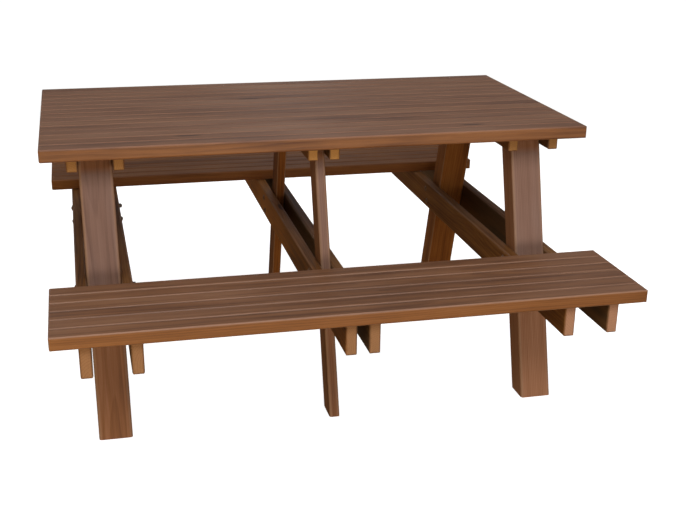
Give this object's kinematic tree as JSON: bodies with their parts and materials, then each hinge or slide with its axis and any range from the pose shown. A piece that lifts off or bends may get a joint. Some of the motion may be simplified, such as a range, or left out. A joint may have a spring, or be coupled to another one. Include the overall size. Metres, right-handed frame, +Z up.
{
  "type": "picnic table with benches",
  "caption": "Outdoor timber picnic table with a lower bench along each long side, slatted top and seats on splayed A-shaped frames with paired bench bearers.",
  "frame": {"origin": "on the ground under the middle of the table top", "axes": "+X along the boards towards the right frame, +Y across the table towards the rear bench, +Z up; the front bench is at -Y"},
  "size_m": [1.5, 1.691, 0.78],
  "materials": {
    "slat_wood": "satin stain, lightly weathered",
    "leg_wood": "satin stain, lightly weathered",
    "rail_wood": "satin stain",
    "galvanised_steel": "dull zinc"
  },
  "bodies": {
    "root": {"table_slat_1": "slat_wood", "table_slat_2": "slat_wood", "table_slat_3": "slat_wood", "table_slat_4": "slat_wood", "table_slat_5": "slat_wood", "table_slat_6": "slat_wood", "table_slat_7": "slat_wood", "table_slat_8": "slat_wood", "table_slat_9": "slat_wood", "table_slat_10": "slat_wood", "table_slat_11": "slat_wood", "table_slat_12": "slat_wood", "table_slat_13": "slat_wood", "table_slat_14": "slat_wood", "table_slat_15": "slat_wood", "front_bench_slat_1": "slat_wood", "front_bench_slat_2": "slat_wood", "front_bench_slat_3": "slat_wood", "front_bench_slat_4": "slat_wood", "front_bench_slat_5": "slat_wood", "front_bench_slat_6": "slat_wood", "rear_bench_slat_1": "slat_wood", "rear_bench_slat_2": "slat_wood", "rear_bench_slat_3": "slat_wood", "rear_bench_slat_4": "slat_wood", "rear_bench_slat_5": "slat_wood", "rear_bench_slat_6": "slat_wood", "left_front_leg": "leg_wood", "left_rear_leg": "leg_wood", "middle_front_leg": "leg_wood", "middle_rear_leg": "leg_wood", "right_front_leg": "leg_wood", "right_rear_leg": "leg_wood", "left_frame_left_batten": "rail_wood", "left_frame_left_bearer": "rail_wood", "left_frame_right_batten": "rail_wood", "left_frame_right_bearer": "rail_wood", "middle_frame_left_batten": "rail_wood", "middle_frame_left_bearer": "rail_wood", "middle_frame_right_batten": "rail_wood", "middle_frame_right_bearer": "rail_wood", "right_frame_left_batten": "rail_wood", "right_frame_left_bearer": "rail_wood", "right_frame_right_batten": "rail_wood", "right_frame_right_bearer": "rail_wood", "long_coach_bolts": "galvanised_steel", "short_coach_bolts": "galvanised_steel", "washers": "galvanised_steel", "nuts": "galvanised_steel"}
  },
  "joints": []
}
